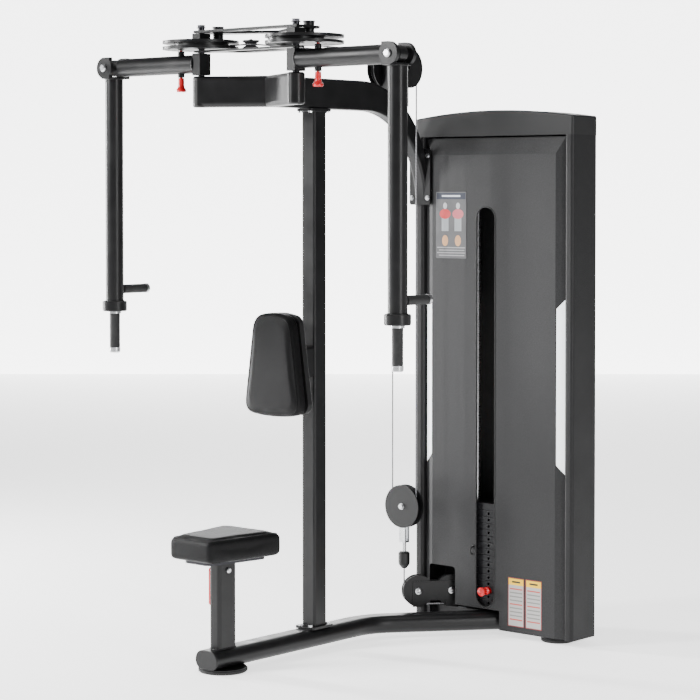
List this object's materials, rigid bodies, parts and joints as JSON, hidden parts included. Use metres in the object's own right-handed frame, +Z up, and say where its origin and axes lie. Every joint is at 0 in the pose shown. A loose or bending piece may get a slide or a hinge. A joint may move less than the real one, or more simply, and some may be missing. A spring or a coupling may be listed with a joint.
{
  "type": "pec deck machine",
  "caption": "Chest and rear-shoulder machine: hanging arms on overhead cams draw cables over pulleys to a pin-selected weight stack in a tower.",
  "frame": {"origin": "centre of the bounding box at floor level", "axes": "+Z up; +Y from the seat towards the weight tower; +X to the seated user's left, across the machine"},
  "size_m": [1.3139, 1.292, 2.0525],
  "materials": {
    "frame_paint": "satin near-black powder coat",
    "steel": "bright zinc",
    "dark_steel": "dark plated steel",
    "vinyl": "dark grey upholstery vinyl, fine grain",
    "shroud": "dark grey textured sheet",
    "column": "darker textured coat of the columns",
    "cap_plastic": "moulded, matte",
    "black_plastic": "moulded",
    "sheave_plastic": "turned nylon",
    "red_plastic": "glossy",
    "window": "milky white",
    "rubber": "matte",
    "cable_jacket": "coated wire rope",
    "board": "moulded back board",
    "sign": "printed plate",
    "stack_paint": "painted steel plates"
  },
  "bodies": {
    "frame": {"arm_strands": "cable_jacket", "back_pad_board": "board", "back_pad_bracket": "frame_paint", "back_pad_cushion": "vinyl", "base_beam": "frame_paint", "base_beam_cap": "black_plastic", "cable_runs": "cable_jacket", "foot_rubbers": "rubber", "frame_bolts": "steel", "frame_flanges": "frame_paint", "front_panel": "shroud", "guide_rods": "steel", "guide_spools": "sheave_plastic", "lift_cable_front": "cable_jacket", "lift_cable_stack": "cable_jacket", "lower_pulley_bracket": "frame_paint", "main_upright": "frame_paint", "panel_signs": "sign", "panel_windows": "window", "pivot_shafts": "dark_steel", "pivot_yoke": "frame_paint", "rear_panel": "shroud", "resting_plates": "stack_paint", "seat_post": "frame_paint", "seat_post_bush": "black_plastic", "spool_plate": "frame_paint", "stack_buffers": "rubber", "tie_frame": "frame_paint", "top_beam": "frame_paint", "top_pulley_bracket": "frame_paint", "tower_cap": "cap_plastic", "tower_columns": "column", "tower_rails": "frame_paint"},
    "weight_carriage": {"stack_head": "stack_paint", "lifted_plates": "stack_paint"},
    "selector": {"selector_pin": "red_plastic"},
    "floating_pulley": {"floating_pulley_body": "black_plastic", "floating_clevis": "steel", "float_loop": "cable_jacket"},
    "floating_wheel": {"floating_sheave": "sheave_plastic"},
    "left_drum": {"left_cam": "frame_paint"},
    "right_drum": {"right_cam": "frame_paint"},
    "left_arm_link": {"left_link": "frame_paint"},
    "right_arm_link": {"right_link": "frame_paint"},
    "left_pin": {"left_pull_pin": "red_plastic"},
    "right_pin": {"right_pull_pin": "red_plastic"},
    "left_hanging_arm": {"left_swing_arm": "frame_paint", "left_arm_fittings": "steel", "left_grips": "rubber"},
    "right_hanging_arm": {"right_swing_arm": "frame_paint", "right_arm_fittings": "steel", "right_grips": "rubber"},
    "left_top_wheel": {"left_top_sheave": "sheave_plastic"},
    "right_top_wheel": {"right_top_sheave": "sheave_plastic"},
    "front_low_wheel": {"lower_front_sheave": "sheave_plastic"},
    "rear_low_wheel": {"lower_rear_sheave": "sheave_plastic"},
    "tower_wheel": {"tower_sheave": "sheave_plastic"},
    "seat_carriage": {"seat_slide": "dark_steel", "seat_cushion": "vinyl"},
    "seat_release": {"seat_lever": "red_plastic"}
  },
  "joints": [
    {"name": "weight_slide", "type": "slide", "parent": "frame", "child": "weight_carriage", "axis": [0, 0, 1], "range_m": [0, 0.1658], "deforming": ["lift_cable_stack"]},
    {"name": "selector_pull", "type": "slide", "parent": "weight_carriage", "child": "selector", "axis": [0, -1, 0], "range_m": [0, 0.09]},
    {"name": "floating_pulley_slide", "type": "slide", "parent": "frame", "child": "floating_pulley", "axis": [0, 0, 1], "range_m": [0, 0.1658], "deforming": ["arm_strands", "lift_cable_front"]},
    {"name": "floating_wheel_spin", "type": "hinge", "parent": "floating_pulley", "child": "floating_wheel", "pos_m": [0, 0.413, 0.424], "axis": [0, 1, 0], "continuous": true},
    {"name": "right_drum_turn", "type": "hinge", "parent": "frame", "child": "right_drum", "pos_m": [0.206, -0.375, 1.99], "axis": [0, 0, 1], "range_deg": [-105, 0]},
    {"name": "left_drum_turn", "type": "hinge", "parent": "frame", "child": "left_drum", "pos_m": [-0.206, -0.375, 1.99], "axis": [0, 0, 1], "range_deg": [0, 105]},
    {"name": "right_start_position", "type": "hinge", "parent": "right_drum", "child": "right_arm_link", "pos_m": [0.206, -0.375, 1.927], "axis": [0, 0, 1], "range_deg": [0, 85]},
    {"name": "left_start_position", "type": "hinge", "parent": "left_drum", "child": "left_arm_link", "pos_m": [-0.206, -0.375, 1.927], "axis": [0, 0, 1], "range_deg": [-85, 0]},
    {"name": "right_pin_pull", "type": "slide", "parent": "right_arm_link", "child": "right_pin", "axis": [0, 0, -1], "range_m": [0, 0.012], "stiffness_N_per_m": 1500},
    {"name": "left_pin_pull", "type": "slide", "parent": "left_arm_link", "child": "left_pin", "axis": [0, 0, -1], "range_m": [0, 0.012], "stiffness_N_per_m": 1500},
    {"name": "right_arm_swing", "type": "hinge", "parent": "right_arm_link", "child": "right_hanging_arm", "pos_m": [0.616, -0.375, 1.927], "axis": [0, -1, 0], "range_deg": [-4, 15]},
    {"name": "left_arm_swing", "type": "hinge", "parent": "left_arm_link", "child": "left_hanging_arm", "pos_m": [-0.616, -0.375, 1.927], "axis": [0, 1, 0], "range_deg": [-4, 15]},
    {"name": "right_top_wheel_spin", "type": "hinge", "parent": "frame", "child": "right_top_wheel", "pos_m": [0.0525, 0.3605, 1.9355], "axis": [1, 0, 0], "continuous": true},
    {"name": "left_top_wheel_spin", "type": "hinge", "parent": "frame", "child": "left_top_wheel", "pos_m": [-0.0525, 0.3605, 1.9355], "axis": [1, 0, 0], "continuous": true},
    {"name": "front_low_wheel_spin", "type": "hinge", "parent": "frame", "child": "front_low_wheel", "pos_m": [0.03053, 0.44939, 0.129], "axis": [0.766, -0.6428, 0], "continuous": true},
    {"name": "rear_low_wheel_spin", "type": "hinge", "parent": "frame", "child": "rear_low_wheel", "pos_m": [0.10582, 0.53911, 0.129], "axis": [0.766, -0.6428, 0], "continuous": true},
    {"name": "tower_wheel_spin", "type": "hinge", "parent": "frame", "child": "tower_wheel", "pos_m": [0.20768, 0.5755, 1.575], "axis": [0, 1, 0], "continuous": true},
    {"name": "seat_height", "type": "slide", "parent": "frame", "child": "seat_carriage", "axis": [0, 0, 1], "range_m": [0, 0.16]},
    {"name": "seat_lever_turn", "type": "hinge", "parent": "frame", "child": "seat_release", "pos_m": [-0.0276, -0.515, 0.305], "axis": [1, 0, 0], "range_deg": [0, 20], "stiffness_Nm_per_rad": 6, "springref_deg": -5.73}
  ],
  "couplings": [
    {"joint": "floating_pulley_slide", "follows": "weight_slide", "ratio": 1},
    {"joint": "right_drum_turn", "follows": "weight_slide", "rad_per_m": -11.05},
    {"joint": "left_drum_turn", "follows": "weight_slide", "rad_per_m": 11.05}
  ]
}
